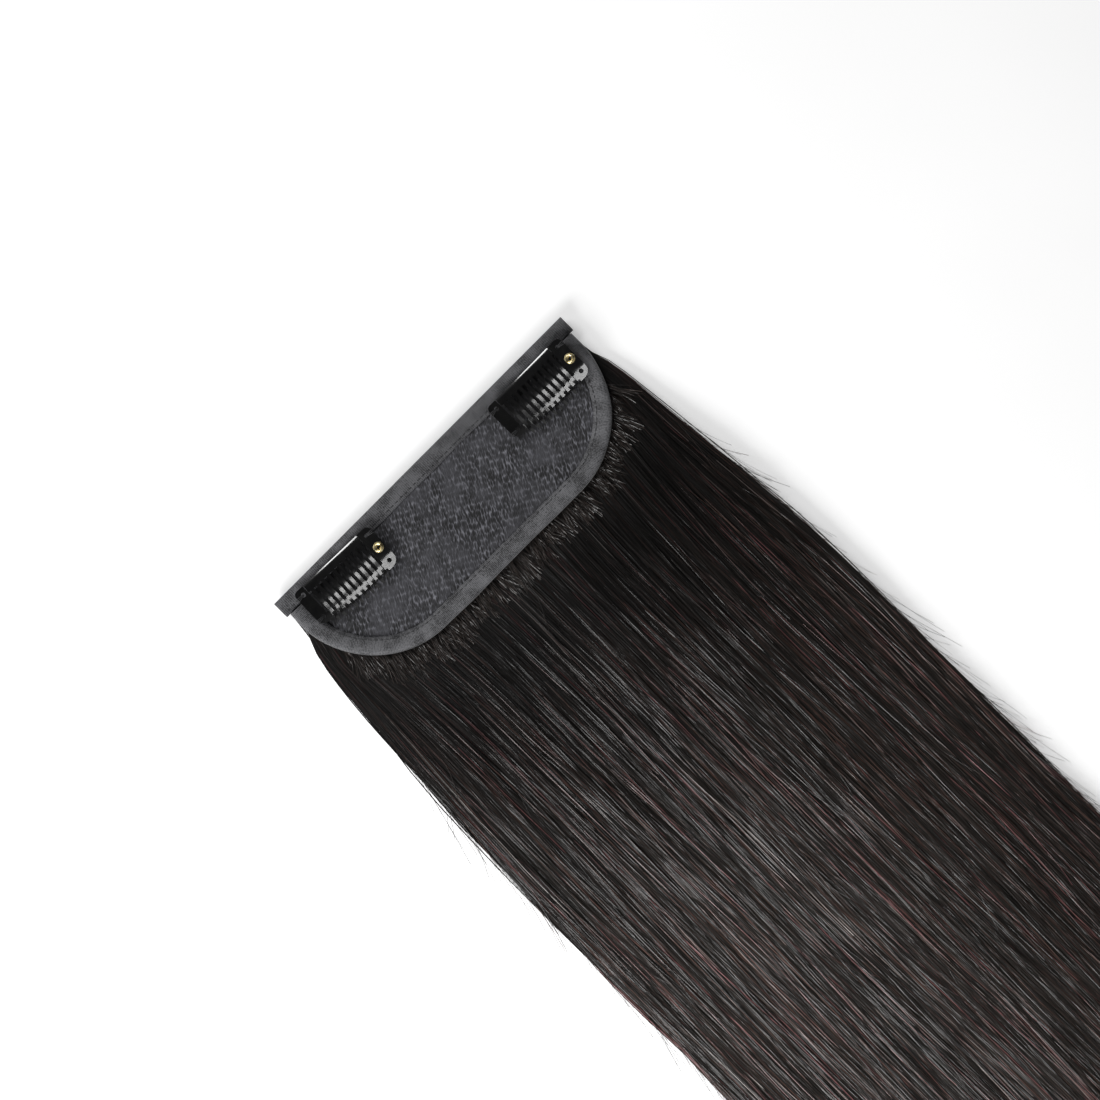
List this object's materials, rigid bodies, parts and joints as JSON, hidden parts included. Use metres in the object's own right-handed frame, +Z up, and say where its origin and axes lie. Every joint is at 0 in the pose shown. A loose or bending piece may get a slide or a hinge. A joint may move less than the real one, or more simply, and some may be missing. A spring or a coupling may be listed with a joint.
{
  "type": "clip in hair extension",
  "caption": "Straight hair weft sewn in rows under a D-shaped lace panel bound with tape, with snap comb clips on the panel's face.",
  "frame": {"origin": "under the middle of the whole piece, on the plane that its hair lies on", "axes": "+X along the weft towards the clips' eyelet ends, +Y from the hair's tips to the taped top edge, +Z up through the panel to the clips"},
  "size_m": [0.1444, 0.4062, 0.0099],
  "materials": {
    "lace": "fine dark grey net lace",
    "tape": "smooth dark grey binding tape",
    "hair": "natural black straight hair",
    "clip_steel": "glossy black enamelled spring steel",
    "eyelet_brass": "bright brass"
  },
  "bodies": {
    "weft": {"lace_panel": "lace", "top_tape": "tape", "edge_tape": "tape", "hair_row_top": "hair", "hair_row_middle": "hair", "hair_row_bottom": "hair", "clip_frame_left": "clip_steel", "clip_eyelet_left": "eyelet_brass", "clip_frame_right": "clip_steel", "clip_eyelet_right": "eyelet_brass"},
    "left_comb": {"clip_comb_left": "clip_steel"},
    "right_comb": {"clip_comb_right": "clip_steel"}
  },
  "joints": [
    {"name": "left_comb_hinge", "type": "hinge", "parent": "weft", "child": "left_comb", "pos_m": [-0.04161, 0.20024, 0.00755], "axis": [-0.9995, 0.0313, -0.0022], "range_deg": [0, 40]},
    {"name": "right_comb_hinge", "type": "hinge", "parent": "weft", "child": "right_comb", "pos_m": [0.04281, 0.19904, 0.00763], "axis": [-1, -0.0052, 0.0004], "range_deg": [0, 40]}
  ]
}
